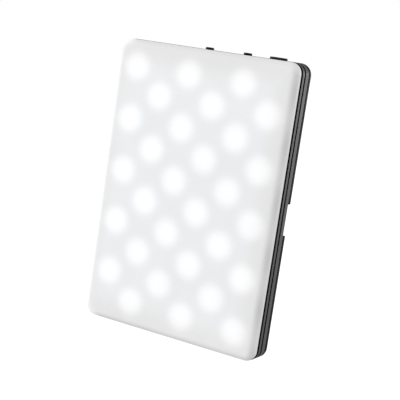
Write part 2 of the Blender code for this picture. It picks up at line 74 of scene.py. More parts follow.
FRONT_Y = box_mm("diffuser_panel")[0].y
HALF_WIDTH = box_mm("housing")[1].x
HEIGHT = box_mm("housing")[1].z
THICKNESS = box_mm("rear_cover")[1].y - FRONT_Y
CORNER_RADIUS = 3.8
SMALLEST_RADIUS = 0.4
CORNER_STEPS = 14
SHARP_ANGLE = 32
EDGE_ROUNDING = 0.1
ROOT_ROUNDING = 0.05
SEAM_ROUNDING = 0.12

# Diffuser: insets of the face's two inner rings, and of the tongue's two sides
DIFFUSER_INSET = HALF_WIDTH - box_mm("diffuser_panel")[1].x
DIFFUSER_ROUNDING = 1.8
DIFFUSER_SKIRT_BACK = 2.6
DIFFUSER_WALL = 1.2
FACE_RINGS = (0.9, 0.3)
DIFFUSER_STEPS = 12
TONGUE = (2.2, 3.0)
TONGUE_BACK = box_mm("diffuser_panel")[1].y - FRONT_Y

# Front frame and housing; a band is given by its front and back depth
NECK_INSET = 0.8
FRAME_FRONT = box_mm("front_frame")[0].y - FRONT_Y
FRAME_BACK = box_mm("front_frame")[1].y - FRONT_Y
FRAME_BAND = (3.5, 4.95)
FRAME_OPENING = 1.9
HOUSING_NECK_FRONT = 5.45
HOUSING_BAND = (5.8, box_mm("housing")[1].y - FRONT_Y)
HOUSING_LIP = (2.2, 2.9)
HOUSING_LIP_FRONT = box_mm("housing")[0].y - FRONT_Y
HOUSING_WALL = 2.0
HOUSING_FLOOR_BACK = 6.0
SWITCH_WINDOW_X = (-29.0, 29.0)
SWITCH_WINDOW_DEPTH = (4.0, 6.2)
SWITCH_WINDOW_Z = (86.8, HEIGHT - 1.8)
BAND_ROUNDING = 0.12
# Faces further in than this from the outline take the painted groove shade.
GROOVE_SHADE_START = BAND_ROUNDING * 0.4

# Rear cover and its clip channel
COVER_FRONT = 8.3
COVER_ROUNDING = 1.1
COVER_RIM = (2.6, 2.0)
COVER_WALL = 1.8
COVER_SKIN = 1.2
COVER_STEPS = 10
BACK_RINGS = (0.4, 1.2)
BRIDGE_CLEARANCE = 0.3
BRIDGE_BACK = 9.0
POCKET_MARGIN = 0.2
POCKET_OVERCUT = 1.0
CHANNEL = (41.5, 52.0)
CHANNEL_FLOOR = 8.05
CHANNEL_SKIN = 1.0
CHANNEL_WALL = 1.3
CHANNEL_CHAMFER = 0.35
CHANNEL_OVERCUT = 0.2
CHANNEL_REACH = 40.0

# Faces within this distance of the back plane count as the rear face
FLAT_TOLERANCE = 0.02

# Turned features at the cover screws, as (depth, radius)
BOSS = ((5.7, 2.3), (7.7, 2.3), (7.8, 2.2))
PILOT = ((6.1, 0.75), (8.6, 0.75))
PILLAR = ((8.1, 2.2), (8.2, 2.3), (THICKNESS - 0.7, 2.3))
SINK = ((7.0, 0.85), (THICKNESS - 1.15, 0.85), (THICKNESS - 0.25, 1.85), (THICKNESS + 0.4, 1.95))

# Cover screw: shank as (depth, radius), head as (distance below its top, radius), and the cross recess
# as half sizes of one arm and as (depth from the top, scale)
SCREW_SHANK = ((6.3, 0.2), (6.5, 0.62))
SCREW_HEAD = ((0.9, 0.65), (0.18, 1.48), (0.08, 1.55), (0.02, 1.5), (0.0, 1.2), (0.0, 0.6))
RECESS_ARMS = (("recess_across", 0.85, 0.2), ("recess_along", 0.2, 0.85))
RECESS_LEVELS = ((-0.55, 0.45), (0.2, 1.15))

# Controls: the crown's rings as (share of the crown below the top, share of the way to the middle)
POWER_X = middle_and_half("power_button")[0]
MODE_X = middle_and_half("mode_button")[0]
ROCKER_X = middle_and_half("brightness_rocker")[0]
BUTTON_RADIUS = 1.4
ROCKER_HALF_LENGTH = 3.0
ROCKER_END_CLEARANCE = 0.3
CONTROL_DEPTH = 5.4
CONTROL_CLEARANCE = 0.15
MOUTH_FLARE = 0.12
MOUTH_REACH = 4.0
CAP_ROUNDING = 0.2
CAP_STEPS = 6
CROWN = 0.04
CROWN_RINGS = ((0.3, 0.45), (0.0, 0.8))
CAP_LIFT = 0.1
WING_HALF_DEPTH = 1.1
BUTTON_WING = 0.8
ROCKER_WING = 0.6
PIN_BORE_DEPTH = (2.0, 9.0)
PIN_BORE_RADIUS = 0.45

# Indicator window: its end as (distance below the top, growth)
WINDOW_X, WINDOW_RADIUS = middle_and_half("charge_indicator_window")
WINDOW_CLEARANCE = 0.1
WINDOW_END = ((0.16, 0.0), (0.06, -0.08), (0.0, -0.3))

# USB-C socket: its rolled mouth as (distance below the rim, growth), and the contacts on its tongue
USB_X, USB_HALF_LENGTH = middle_and_half("usb_c_receptacle")
USB_LOW, USB_HIGH = box_mm("usb_c_receptacle")
USB_DEPTH = (USB_LOW.y + USB_HIGH.y) / 2 - FRONT_Y
USB_HALF_DEPTH = (USB_HIGH.y - USB_LOW.y) / 2
USB_WALL = 0.3
USB_BASE = 0.8
USB_MOUTH = ((0.15, 0.0), (0.04, -0.04), (0.0, -0.15), (0.04, -0.26), (0.15, -USB_WALL))
USB_TONGUE_TIP = 0.3
USB_TONGUE_TAPER = -0.15
CONTACTS = 12
CONTACT_PITCH = 0.5
CONTACT_HALF_WIDTH = 0.12
CONTACT_HALF_THICKNESS = 0.02
CONTACT_LIFT = 0.01
CONTACT_SPAN = (3.0, 0.45)

# LED grid: rows of three pairs, shifted by a share of the pitch to the left and to the right in turn
LED_COLUMNS = 3
LED_ROWS = 10
LED_PITCH_X = 20.3
LED_PITCH_Z = 8.83
LED_SHIFT = 0.25
LED_CENTRE = (-0.2, 48.4)
FIRST_ROW = LED_CENTRE[1] - (LED_ROWS - 1) / 2 * LED_PITCH_Z


# ---------------------------------------------------------------- mesh helpers

def point(x, depth, z):
    """Position in metres from x, depth and z in millimetres."""
    return Vector((x, depth + FRONT_Y, z)) * MM


def panel_outline(inset, depth):
    """Loop round the panel's outline at an inset, as seen from the front."""
    half = HALF_WIDTH - inset
    radius = max(CORNER_RADIUS - inset, SMALLEST_RADIUS)
    low, high = inset + radius, HEIGHT - inset - radius
    side = half - radius
    loop = []
    for quarter, (x, z) in enumerate(((side, high), (-side, high), (-side, low), (side, low))):
        for step in range(CORNER_STEPS + 1):
            angle = (quarter + step / CORNER_STEPS) * math.pi / 2
            loop.append(point(x + radius * math.cos(angle), depth, z + radius * math.sin(angle)))
    return loop


def stadium(x, depth, half_length, half_depth, z, steps=10):
    """Loop in a level plane, long in X and round at both ends; a circle where both halves agree."""
    straight = half_length - half_depth
    loop = []
    for end, first in ((1, -90), (-1, 90)):
        for step in range(steps + 1):
            angle = math.radians(first + 180 * step / steps)
            loop.append(point(x + end * straight + half_depth * math.cos(angle),
                              depth + half_depth * math.sin(angle), z))
    return loop if straight > 1e-6 else loop[:steps] + loop[steps + 1:-1]


def circle(x, depth, z, radius, steps=28):
    """Loop in a plane of constant depth."""
    return [point(x + radius * math.cos(2 * math.pi * step / steps), depth,
                  z + radius * math.sin(2 * math.pi * step / steps)) for step in range(steps)]


def quarter_turn(steps):
    """Angles from 0 to a right angle, both included."""
    return [math.pi / 2 * step / steps for step in range(steps + 1)]


def soften(corners, steps=4):
    """Round the square corners of a profile given as (inset, depth, radius)."""
    profile = []
    count = len(corners)
    for i, (a, b, radius) in enumerate(corners):
        if not radius:
            profile.append((a, b))
            continue
        corner = Vector((a, b))
        before = (Vector(corners[i - 1][:2]) - corner).normalized() * radius
        after = (Vector(corners[(i + 1) % count][:2]) - corner).normalized() * radius
        for angle in quarter_turn(steps):
            profile.append(tuple(corner + before + after - after * math.cos(angle)
                                 - before * math.sin(angle)))
    return profile


def loft(name, loops, closed=False):
    """Skin over loops with equal numbers of points, closed into a ring or capped at both ends."""
    bm = bmesh.new()
    rows = [[bm.verts.new(position) for position in loop] for loop in loops]
    pairs = list(zip(rows, rows[1:]))
    if closed:
        pairs.append((rows[-1], rows[0]))
    for first, second in pairs:
        for i in range(len(first)):
            j = (i + 1) % len(first)
            bm.faces.new((first[i], first[j], second[j], second[i]))
    if not closed:
        bm.faces.new(rows[0])
        bm.faces.new(rows[-1])
    bmesh.ops.recalc_face_normals(bm, faces=bm.faces)
    mesh = bpy.data.meshes.new(name)
    bm.to_mesh(mesh)
    bm.free()
    made = bpy.data.objects.new(name, mesh)
    bpy.context.scene.collection.objects.link(made)
    return made


def outline_loft(name, profile, closed=False):
    """Loft whose loops follow the panel's outline, from a profile of (inset, depth)."""
    return loft(name, [panel_outline(inset, depth) for inset, depth in profile], closed)


def shape(target, operation, *tools):
    """Cut tools from a target or join them to it, then remove them."""
    for tool in tools:
        modifier = target.modifiers.new(tool.name, "BOOLEAN")
        modifier.operation = operation
        modifier.solver = "EXACT"
        modifier.object = tool
    bpy.context.view_layer.update()
    evaluated = target.evaluated_get(bpy.context.evaluated_depsgraph_get())
    result = bpy.data.meshes.new_from_object(evaluated)
    target.modifiers.clear()
    target.data = result
    for tool in tools:
        bpy.data.objects.remove(tool)


def polish(piece, angle=SHARP_ANGLE):
    """Smooth shading that keeps edges sharper than an angle and large faces flat."""
    piece.data.shade_smooth()
    piece.data.set_sharp_from_angle(angle=math.radians(angle))
    weighted = piece.modifiers.new("flat_faces", "WEIGHTED_NORMAL")
    weighted.keep_sharp = True
    weighted.weight = 80


def block(name, x, depth, z):
    """Plain box used as a cutter or an addition."""
    corners = ((x[0], z[0]), (x[1], z[0]), (x[1], z[1]), (x[0], z[1]))
    return loft(name, [[point(a, level, b) for a, b in corners] for level in depth])


def drill(name, x, z, stations):
    """Turned cutter or addition along the depth from (depth, radius) stations."""
    return loft(name, [circle(x, depth, z, radius) for depth, radius in stations])


def paint_groove_shade(piece, back):
    """Painted shade: matt near-black on faces no deeper than `back` that lie further in than a band's
    rounding, where the grooves between the pieces lie in shade.
    """
    piece.data.materials.append(GROOVE_SHADE_PAINT)
    for polygon in piece.data.polygons:
        if polygon.center.y / MM - FRONT_Y > back:
            continue
        x, z = polygon.center.x / MM, polygon.center.z / MM
        across, up = HALF_WIDTH - abs(x), HEIGHT / 2 - abs(z - HEIGHT / 2)
        depth = min(across, up)
        if across < CORNER_RADIUS and up < CORNER_RADIUS:
            depth = CORNER_RADIUS - math.hypot(CORNER_RADIUS - across, CORNER_RADIUS - up)
        if depth > GROOVE_SHADE_START:
            polygon.material_index = 1


def place(piece, body, material, slot_name, *nodes):
    """Give a piece its material, let it ride on a body and stand for CAD nodes.  The slot name is not used.
    """
    piece.data.materials.clear()
    piece.data.materials.append(material)
    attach(piece, body)
    if nodes:
        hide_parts(*nodes)


# ---------------------------------------------------------------- material helpers

def start_material(name):
    """Material with a Principled shader; returns it, its tree, its shader and its object coordinates."""
    material = bpy.data.materials.new(name)
    material.use_nodes = True
    tree = material.node_tree
    shader = tree.nodes["Principled BSDF"]
    coordinates = tree.nodes.new("ShaderNodeTexCoord").outputs["Object"]
    return material, tree, shader, coordinates


def feed(tree, socket, value):
    """Link a socket to a socket, or set it to a number or a colour."""
    if isinstance(value, bpy.types.NodeSocket):
        tree.links.new(value, socket)
    else:
        socket.default_value = value


def calc(tree, operation, *values):
    """Math node; returns its output."""
    node = tree.nodes.new("ShaderNodeMath")
    node.operation = operation
    for socket, value in zip(node.inputs, values):
        feed(tree, socket, value)
    return node.outputs[0]


def remap(tree, value, low, high, to_low, to_high, smooth=False):
    """Map Range node; returns its output."""
    node = tree.nodes.new("ShaderNodeMapRange")
    node.interpolation_type = "SMOOTHSTEP" if smooth else "LINEAR"
    for socket, number in zip(node.inputs, (value, low, high, to_low, to_high)):
        feed(tree, socket, number)
    return node.outputs[0]


def noise(tree, coordinates, size, detail=2.0, stretch=None):
    """Noise whose features are about `size` millimetres, or finer along a stretched axis."""
    if stretch:
        mapping = tree.nodes.new("ShaderNodeMapping")
        mapping.inputs["Scale"].default_value = stretch
        tree.links.new(coordinates, mapping.inputs["Vector"])
        coordinates = mapping.outputs["Vector"]
    node = tree.nodes.new("ShaderNodeTexNoise")
    node.inputs["Scale"].default_value = 1 / (size * MM)
    node.inputs["Detail"].default_value = detail
    tree.links.new(coordinates, node.inputs["Vector"])
    return node.outputs["Fac"]


def mix_colours(tree, factor, first, second):
    """Mix of two colours; returns its output."""
    node = tree.nodes.new("ShaderNodeMix")
    node.data_type = "RGBA"
    feed(tree, node.inputs["Factor"], factor)
    for socket, colour in ((node.inputs["A"], first), (node.inputs["B"], second)):
        if isinstance(colour, tuple):
            socket.default_value = (*colour, 1.0)
        else:
            tree.links.new(colour, socket)
    return node.outputs["Result"]


def bump(tree, shader, height, depth_mm):
    """Bump from a height between 0 and 1, `depth_mm` deep."""
    node = tree.nodes.new("ShaderNodeBump")
    node.inputs["Distance"].default_value = depth_mm * MM
    node.inputs["Strength"].default_value = 1.0
    tree.links.new(height, node.inputs["Height"])
    tree.links.new(node.outputs["Normal"], shader.inputs["Normal"])


# Range that noise values mostly lie in, shares of patches and grain in the tone, and the pointiness
# and the cloud values over which worn edges come in
NOISE_SPAN = (0.3, 0.7)
PATCH_SHARE, GRAIN_SHARE = 0.6, 0.4
WORN_EDGE = (0.52, 0.6)
WORN_PATCH = (0.35, 0.6, 0.2, 1.0)
WORN_LIFT, WORN_GAIN = 0.1, 2.0


def moulded(name, colour, roughness, grain, grain_depth, patch, tone, specular=0.5, metallic=0.0,
            stretch=None, wear=0.0):
    """Surface with cloudy tone, fine grain, uneven roughness and, if asked for, worn edges.

    The grain's size and depth and the patches' size are in millimetres; the tone swings by a share of
    the colour to either side of it.
    """
    material, tree, shader, coordinates = start_material(name)
    cloud = noise(tree, coordinates, patch, 3.0)
    fine = noise(tree, coordinates, grain, 2.0, stretch)
    speckle = calc(tree, "ADD", calc(tree, "MULTIPLY", cloud, PATCH_SHARE),
                   calc(tree, "MULTIPLY", fine, GRAIN_SHARE))
    dark = tuple(c * (1 - tone) for c in colour)
    light = tuple(min(1.0, c * (1 + tone)) for c in colour)
    shown = mix_colours(tree, remap(tree, speckle, *NOISE_SPAN, 0.0, 1.0), dark, light)
    if wear:
        edge = tree.nodes.new("ShaderNodeNewGeometry").outputs["Pointiness"]
        worn = calc(tree, "MULTIPLY", remap(tree, edge, *WORN_EDGE, 0.0, 1.0),
                    remap(tree, cloud, *WORN_PATCH))
        shown = mix_colours(tree, calc(tree, "MULTIPLY", worn, wear), shown,
                            tuple(min(1.0, WORN_LIFT + c * WORN_GAIN) for c in colour))
    tree.links.new(shown, shader.inputs["Base Color"])
    tree.links.new(remap(tree, speckle, *NOISE_SPAN, *roughness), shader.inputs["Roughness"])
    shader.inputs["Metallic"].default_value = metallic
    shader.inputs["Specular IOR Level"].default_value = specular
    bump(tree, shader, fine, grain_depth)
    return material


# Light that leaves the diffuser: strengths, and the distances in millimetres over which they change.
# It falls off towards every edge, hardly on the left and most on the right.  The sparing of the left margin
# and a brighter narrow rim on the left are painted highlight.  The extra loss at the right edge, which
# swings as the spots of every second row come closer to the edge, and the loss at both ends are painted
# shade.
SPOT_RADIUS = 4.73
SPOT_STRENGTH = 0.165
FIELD_STRENGTH = 0.485
SKIRT_STRENGTH = 0.22
SKIRT_START = 0.6
MARGIN_LOSS, MARGIN_FADE, LEFT_MARGIN_GAP = 0.065, (3.0, 11.0), 5.0
RIGHT_EDGE_PAINTED_SHADE, RIGHT_FADE, RIGHT_SWING = 0.17, (0.4, 3.3), 0.2
END_PAINTED_SHADE, END_FROM_LEFT = 0.14, (2.0, 7.0)
BOTTOM_FADE, TOP_FADE = (0.4, 2.6), (0.4, 2.1)
LEFT_RIM_PAINTED_HIGHLIGHT, LEFT_RIM_FADE, LEFT_REACH = 0.07, (0.5, 2.7), (3.0, 7.0)
RIM_RADIUS = 6.5
TINT_FADE, EDGE_TINT, FACE_TINT = (3.0, 12.0), (1.0, 1.0, 1.0), (0.965, 0.98, 1.0)
RIPPLE_SIZE, RIPPLE_SWING = 14.0, (0.985, 1.015)

# Satin surface of the diffuser
OPAL_COLOURS = ((0.58, 0.58, 0.58), (0.62, 0.62, 0.625))
OPAL_ROUGHNESS = (0.42, 0.58)
OPAL_SPECULAR = 0.3
FROST_SIZE, FROST_DEPTH = 0.1, 0.004


def from_nearest(tree, value, first, pitch, lowest, highest):
    """Distance of a value from the nearest of the grid lines numbered from `lowest` to `highest`."""
    along = calc(tree, "SUBTRACT", value, first)
    line = calc(tree, "ROUND", calc(tree, "DIVIDE", along, pitch))
    line = calc(tree, "MINIMUM", calc(tree, "MAXIMUM", line, lowest), highest)
    return calc(tree, "SUBTRACT", along, calc(tree, "MULTIPLY", line, pitch))


def square_sum(tree, first, second):
    """Sum of two squares."""
    return calc(tree, "ADD", calc(tree, "MULTIPLY", first, first), calc(tree, "MULTIPLY", second, second))


def spot_glow(tree, x, z, lowest_row, shift):
    """Glow of one of the two interleaved LED grids: 1 over an LED pair, flat-topped, then falling."""
    pitch_x, pitch_z = LED_PITCH_X * MM, 2 * LED_PITCH_Z * MM
    side_columns = (LED_COLUMNS - 1) / 2
    across = from_nearest(tree, x, LED_CENTRE[0] * MM + shift * pitch_x, pitch_x,
                          -side_columns, side_columns)
    along = from_nearest(tree, z, lowest_row * MM, pitch_z, 0.0, LED_ROWS / 2 - 1)
    reach = calc(tree, "DIVIDE", square_sum(tree, across, along), (SPOT_RADIUS * MM) ** 2)
    return calc(tree, "EXPONENT", calc(tree, "MULTIPLY", calc(tree, "MULTIPLY", reach, reach), -1.0))


def rounded_rim(tree, side_room, end_room):
    """Distance to the rim of a rectangle with rounded corners, from the distances to its sides."""
    radius = RIM_RADIUS * MM
    short_side = calc(tree, "MAXIMUM", calc(tree, "SUBTRACT", radius, side_room), 0.0)
    short_end = calc(tree, "MAXIMUM", calc(tree, "SUBTRACT", radius, end_room), 0.0)
    return calc(tree, "SUBTRACT", radius, calc(tree, "SQRT", square_sum(tree, short_side, short_end)))


def fade(tree, distance, span, near, far):
    """Smooth change from `near` to `far` over a span of distances in millimetres."""
    return remap(tree, distance, span[0] * MM, span[1] * MM, near, far, smooth=True)


def field_light(tree, x, z):
    """Even light between the LED spots, with its changes along the four edges, which include painted shade
    and painted highlight.

    Returns it with the distance to the nearest edge, in which the left one counts as further away.
    """
    right_room = calc(tree, "SUBTRACT", HALF_WIDTH * MM, x)
    left_room = calc(tree, "ADD", x, HALF_WIDTH * MM)
    top_room = calc(tree, "SUBTRACT", HEIGHT * MM, z)
    end_room = calc(tree, "MINIMUM", top_room, z)
    # The left margin counts as further away, so it dims less: painted highlight.
    side_room = calc(tree, "MINIMUM", calc(tree, "ADD", left_room, LEFT_MARGIN_GAP * MM), right_room)
    room = calc(tree, "MINIMUM", side_room, end_room)
    field = fade(tree, room, MARGIN_FADE, FIELD_STRENGTH - MARGIN_LOSS, FIELD_STRENGTH)

    # Painted shade along the right edge, swinging with the rows of spots.
    turn = calc(tree, "MULTIPLY", calc(tree, "SUBTRACT", z, FIRST_ROW * MM),
                math.pi / (LED_PITCH_Z * MM))
    swing = calc(tree, "SUBTRACT", 1.0, calc(tree, "MULTIPLY", calc(tree, "COSINE", turn), RIGHT_SWING))
    right = calc(tree, "MULTIPLY", fade(tree, right_room, RIGHT_FADE, RIGHT_EDGE_PAINTED_SHADE, 0.0), swing)
    field = calc(tree, "SUBTRACT", field, right)

    # Painted highlight on a narrow rim along the left edge.
    rim = rounded_rim(tree, left_room, end_room)
    gain = calc(tree, "MULTIPLY", fade(tree, rim, LEFT_RIM_FADE, LEFT_RIM_PAINTED_HIGHLIGHT, 0.0),
                fade(tree, left_room, LEFT_REACH, 1.0, 0.0))
    field = calc(tree, "ADD", field, gain)

    # Painted shade at the top and bottom ends, coming in away from the left edge.
    loss = calc(tree, "ADD", fade(tree, z, BOTTOM_FADE, END_PAINTED_SHADE, 0.0),
                fade(tree, top_room, TOP_FADE, END_PAINTED_SHADE, 0.0))
    loss = calc(tree, "MULTIPLY", loss, fade(tree, left_room, END_FROM_LEFT, 0.0, 1.0))
    return calc(tree, "SUBTRACT", field, loss), room


def opal():
    """Satin opal plastic, lit from behind by the LED grid, dimmer towards its edges, with painted shade on
    the right edge and both ends and a painted highlight on the left rim.
    """
    material, tree, shader, coordinates = start_material("opal_diffuser")
    parts = tree.nodes.new("ShaderNodeSeparateXYZ")
    tree.links.new(coordinates, parts.inputs[0])
    x, y, z = parts.outputs
    glow = calc(tree, "ADD", spot_glow(tree, x, z, FIRST_ROW + LED_PITCH_Z, -LED_SHIFT),
                spot_glow(tree, x, z, FIRST_ROW, LED_SHIFT))
    field, room = field_light(tree, x, z)
    lit = calc(tree, "ADD", field, calc(tree, "MULTIPLY", glow, SPOT_STRENGTH))
    skirt = fade(tree, y, (FRONT_Y + DIFFUSER_ROUNDING * SKIRT_START, FRONT_Y + DIFFUSER_ROUNDING),
                 0.0, 1.0)
    light = remap(tree, skirt, 0.0, 1.0, lit, SKIRT_STRENGTH)

    ripple = noise(tree, coordinates, RIPPLE_SIZE)
    light = calc(tree, "MULTIPLY", light, remap(tree, ripple, *NOISE_SPAN, *RIPPLE_SWING))
    tint = mix_colours(tree, fade(tree, room, TINT_FADE, 0.0, 1.0), EDGE_TINT, FACE_TINT)
    scaled = tree.nodes.new("ShaderNodeVectorMath")
    scaled.operation = "SCALE"
    tree.links.new(tint, scaled.inputs[0])
    tree.links.new(light, scaled.inputs["Scale"])
    tree.links.new(scaled.outputs[0], shader.inputs["Emission Color"])
    shader.inputs["Emission Strength"].default_value = 1.0

    frost = noise(tree, coordinates, FROST_SIZE)
    tree.links.new(mix_colours(tree, ripple, *OPAL_COLOURS), shader.inputs["Base Color"])
    tree.links.new(remap(tree, frost, *NOISE_SPAN, *OPAL_ROUGHNESS), shader.inputs["Roughness"])
    shader.inputs["Specular IOR Level"].default_value = OPAL_SPECULAR
    bump(tree, shader, frost, FROST_DEPTH)
    return material


OPAL = opal()

# Name, colour, roughness range, grain size and depth, patch size, tone
GRAPHITE = moulded("graphite_shell", (0.075, 0.075, 0.078), (0.42, 0.55), 0.10, 0.006, 12.0, 0.12,
                   specular=0.4, wear=0.35)
BLACK_SHELL = moulded("black_shell", (0.008, 0.008, 0.009), (0.5, 0.66), 0.28, 0.03, 15.0, 0.3,
                      specular=0.12)
BLACK_BACK = moulded("textured_back", (0.020, 0.020, 0.021), (0.42, 0.6), 0.4, 0.05, 12.0, 0.35,
                     specular=0.35)
# Painted shade for the grooves between the pieces: near-black and matt.
GROOVE_SHADE_PAINT = moulded("painted_groove_shade", (0.004, 0.004, 0.004), (0.8, 0.95), 0.15, 0.01, 8.0, 0.2,
                       specular=0.05)
BLACK_CONTROL = moulded("black_control", (0.010, 0.010, 0.011), (0.4, 0.5), 0.10, 0.004, 2.0, 0.2,
                        specular=0.2, wear=0.2)
SCREW_METAL = moulded("blackened_screw", (0.16, 0.16, 0.165), (0.28, 0.42), 0.05, 0.002, 1.0, 0.25,
                      metallic=1.0, wear=0.5)
PLATED = moulded("plated_metal", (0.62, 0.62, 0.63), (0.2, 0.34), 0.06, 0.002, 2.0, 0.08,
                 metallic=1.0, stretch=(1.0, 1.0, 6.0))
GOLD = moulded("contact_gold", (0.83, 0.62, 0.28), (0.2, 0.32), 0.05, 0.001, 1.0, 0.08, metallic=1.0)
FILM = moulded("white_film", (0.86, 0.86, 0.86), (0.35, 0.5), 0.2, 0.002, 8.0, 0.02)
BOARD_WHITE = moulded("white_board", (0.82, 0.82, 0.80), (0.3, 0.45), 0.15, 0.003, 6.0, 0.04)
PAD = moulded("grey_pad", (0.30, 0.31, 0.33), (0.75, 0.9), 0.25, 0.02, 4.0, 0.15)
CHIP = moulded("moulded_chip", (0.02, 0.02, 0.022), (0.5, 0.65), 0.08, 0.005, 1.5, 0.2)
BOARD_GREEN = moulded("green_board", (0.02, 0.13, 0.06), (0.25, 0.4), 0.3, 0.006, 3.0, 0.2)
CONNECTOR = moulded("white_connector", (0.82, 0.81, 0.76), (0.4, 0.5), 0.12, 0.003, 2.0, 0.05)
CLEAR = moulded("clear_plastic", (0.75, 0.78, 0.82), (0.08, 0.16), 0.3, 0.001, 2.0, 0.05)
FOIL = moulded("battery_foil", (0.62, 0.63, 0.65), (0.22, 0.38), 0.5, 0.01, 7.0, 0.08, metallic=0.9)
WIRE_BLACK = moulded("lead_black", (0.02, 0.02, 0.02), (0.35, 0.5), 0.1, 0.004, 2.0, 0.15)
WIRE_RED = moulded("lead_red", (0.45, 0.015, 0.015), (0.35, 0.5), 0.1, 0.004, 2.0, 0.15)


# ---------------------------------------------------------------- openings shared by two pieces

def mouth(name, x, depth, half_length, half_depth):
    """Cutter for an opening in the top edge, flared at the surface."""
    levels = ((HEIGHT - MOUTH_REACH, 0.0), (HEIGHT - MOUTH_FLARE, 0.0),
              (HEIGHT + MOUTH_FLARE, 2 * MOUTH_FLARE))
    return loft(name, [stadium(x, depth, half_length + grow, half_depth + grow, z)
                       for z, grow in levels])


def top_openings():
    """Cutters for every opening in the top edge."""
    hole = BUTTON_RADIUS + CONTROL_CLEARANCE
    pipe = WINDOW_RADIUS + WINDOW_CLEARANCE
    return [
        mouth("power_mouth", POWER_X, CONTROL_DEPTH, hole, hole),
        mouth("mode_mouth", MODE_X, CONTROL_DEPTH, hole, hole),
        mouth("rocker_mouth", ROCKER_X, CONTROL_DEPTH, ROCKER_HALF_LENGTH + ROCKER_END_CLEARANCE, hole),
        mouth("usb_mouth", USB_X, USB_DEPTH, USB_HALF_LENGTH + CONTROL_CLEARANCE,
              USB_HALF_DEPTH + CONTROL_CLEARANCE),
        mouth("indicator_mouth", WINDOW_X, CONTROL_DEPTH, pipe, pipe),
    ]


SCREWS = {
    name: ((low.x + high.x) / 2, (low.z + high.z) / 2)
    for name in NODES if name.startswith("cover_screw_")
    for low, high in [box_mm(name)]
}


# ---------------------------------------------------------------- outer pieces

def diffuser():
    """Opal shell with a rounded front edge and a tongue behind."""
    radius = DIFFUSER_ROUNDING
    profile = [(DIFFUSER_INSET + radius + ring, 0.0) for ring in FACE_RINGS]
    for angle in quarter_turn(DIFFUSER_STEPS):
        profile.append((DIFFUSER_INSET + radius * (1 - math.sin(angle)), radius * (1 - math.cos(angle))))
    profile += soften([(DIFFUSER_INSET, DIFFUSER_SKIRT_BACK, SEAM_ROUNDING),
                       (TONGUE[0], DIFFUSER_SKIRT_BACK, 0.0), (TONGUE[0], TONGUE_BACK, EDGE_ROUNDING),
                       (TONGUE[1], TONGUE_BACK, EDGE_ROUNDING), (TONGUE[1], DIFFUSER_WALL, 0.0)])
    shell = outline_loft("diffuser_shell", profile)
    polish(shell)
    place(shell, "panel", OPAL, "opal_diffuser", "diffuser_panel")


def front_frame():
    """Ring with a rounded outer band on a recessed neck."""
    corners = [(NECK_INSET, FRAME_FRONT, EDGE_ROUNDING), (NECK_INSET, FRAME_BAND[0], ROOT_ROUNDING),
               (0.0, FRAME_BAND[0], BAND_ROUNDING), (0.0, FRAME_BAND[1], BAND_ROUNDING),
               (NECK_INSET, FRAME_BAND[1], ROOT_ROUNDING), (NECK_INSET, FRAME_BACK, EDGE_ROUNDING),
               (FRAME_OPENING, FRAME_BACK, EDGE_ROUNDING), (FRAME_OPENING, FRAME_FRONT, EDGE_ROUNDING)]
    ring = outline_loft("front_frame_ring", soften(corners), closed=True)
    shape(ring, "DIFFERENCE", *top_openings())
    polish(ring)
    place(ring, "panel", GRAPHITE, "graphite_shell", "front_frame")
    # Painted shade on the frame's groove faces.
    paint_groove_shade(ring, FRAME_BACK)


def housing():
    """Tray with a rounded outer band, a lip inside the front frame and four screw bosses."""
    corners = [(HOUSING_LIP[1], HOUSING_NECK_FRONT, 0.0),
               (HOUSING_LIP[1], HOUSING_LIP_FRONT, EDGE_ROUNDING),
               (HOUSING_LIP[0], HOUSING_LIP_FRONT, EDGE_ROUNDING),
               (HOUSING_LIP[0], HOUSING_NECK_FRONT, ROOT_ROUNDING),
               (NECK_INSET, HOUSING_NECK_FRONT, EDGE_ROUNDING),
               (NECK_INSET, HOUSING_BAND[0], ROOT_ROUNDING),
               (0.0, HOUSING_BAND[0], BAND_ROUNDING), (0.0, HOUSING_BAND[1], BAND_ROUNDING),
               (HOUSING_WALL, HOUSING_BAND[1], EDGE_ROUNDING), (HOUSING_WALL, HOUSING_FLOOR_BACK, 0.0)]
    tray = outline_loft("housing_tray", soften(corners))
    window = block("switch_window", SWITCH_WINDOW_X, SWITCH_WINDOW_DEPTH, SWITCH_WINDOW_Z)
    shape(tray, "DIFFERENCE", window, *top_openings())
    for name, (x, z) in SCREWS.items():
        shape(tray, "UNION", drill(name + "_boss", x, z, BOSS))
        shape(tray, "DIFFERENCE", drill(name + "_pilot", x, z, PILOT))
    polish(tray)
    place(tray, "panel", GRAPHITE, "graphite_shell", "housing")
    # Painted shade on the housing's groove faces.
    paint_groove_shade(tray, HOUSING_BAND[0] + BAND_ROUNDING)


